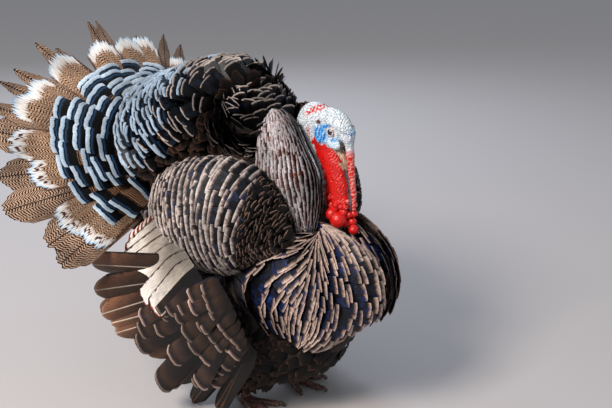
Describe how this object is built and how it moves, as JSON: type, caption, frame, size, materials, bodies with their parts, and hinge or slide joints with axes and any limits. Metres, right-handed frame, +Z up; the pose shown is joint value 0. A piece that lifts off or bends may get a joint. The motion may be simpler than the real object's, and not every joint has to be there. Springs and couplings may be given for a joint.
{
  "type": "domestic turkey",
  "caption": "Bronze tom turkey in full display: fanned tail, raised back, drooped wings, bare head with snood and wattle, on both feet, wing tips on the floor.",
  "frame": {"origin": "on the floor, under the middle of the whole bird's box", "axes": "+Z up, the bird faces -Y, its left side is +X"},
  "size_m": [0.727, 0.7508, 0.6846],
  "materials": {
    "eye": "wet gloss",
    "wattle_skin": "moist, finely wrinkled red skin",
    "face_skin": "warty pale blue-white skin with dark bristles",
    "horn": "satin horn",
    "leg_scale": "dull overlapping scales",
    "tail_feather": "barred vane, satin",
    "tail_covert": "barred vane with white tip, satin",
    "wing_feather": "bronze-brown vane, satin",
    "body_feather": "black vane with pale edge, iridescent"
  },
  "bodies": {
    "root": {"eye_left": "eye", "eye_right": "eye", "snood": "wattle_skin", "beak_upper": "horn", "beak_lower": "horn", "caruncles": "wattle_skin", "wattle": "wattle_skin", "head": "face_skin", "neck": "face_skin", "trunk": "body_feather", "tail_root": "body_feather", "tail_quills": "tail_feather", "tail_coverts_long": "tail_covert", "tail_coverts_short": "tail_covert", "shoulder_left": "body_feather", "wing_primaries_left": "wing_feather", "wing_secondaries_left": "wing_feather", "wing_coverts_left": "wing_feather", "wing_tertials_left": "wing_feather", "shoulder_right": "body_feather", "wing_primaries_right": "wing_feather", "wing_secondaries_right": "wing_feather", "wing_coverts_right": "wing_feather", "wing_tertials_right": "wing_feather", "cape_left": "body_feather", "breast_left": "body_feather", "cape_right": "body_feather", "breast_right": "body_feather", "claw_left_inner": "horn", "claw_left_middle": "horn", "claw_left_outer": "horn", "claw_left_hind": "horn", "foot_left": "leg_scale", "spur_left": "horn", "shank_left": "leg_scale", "thigh_left": "body_feather", "claw_right_inner": "horn", "claw_right_middle": "horn", "claw_right_outer": "horn", "claw_right_hind": "horn", "foot_right": "leg_scale", "spur_right": "horn", "shank_right": "leg_scale", "thigh_right": "body_feather", "back_crest": "body_feather", "belly": "body_feather", "undertail": "body_feather"}
  },
  "joints": []
}
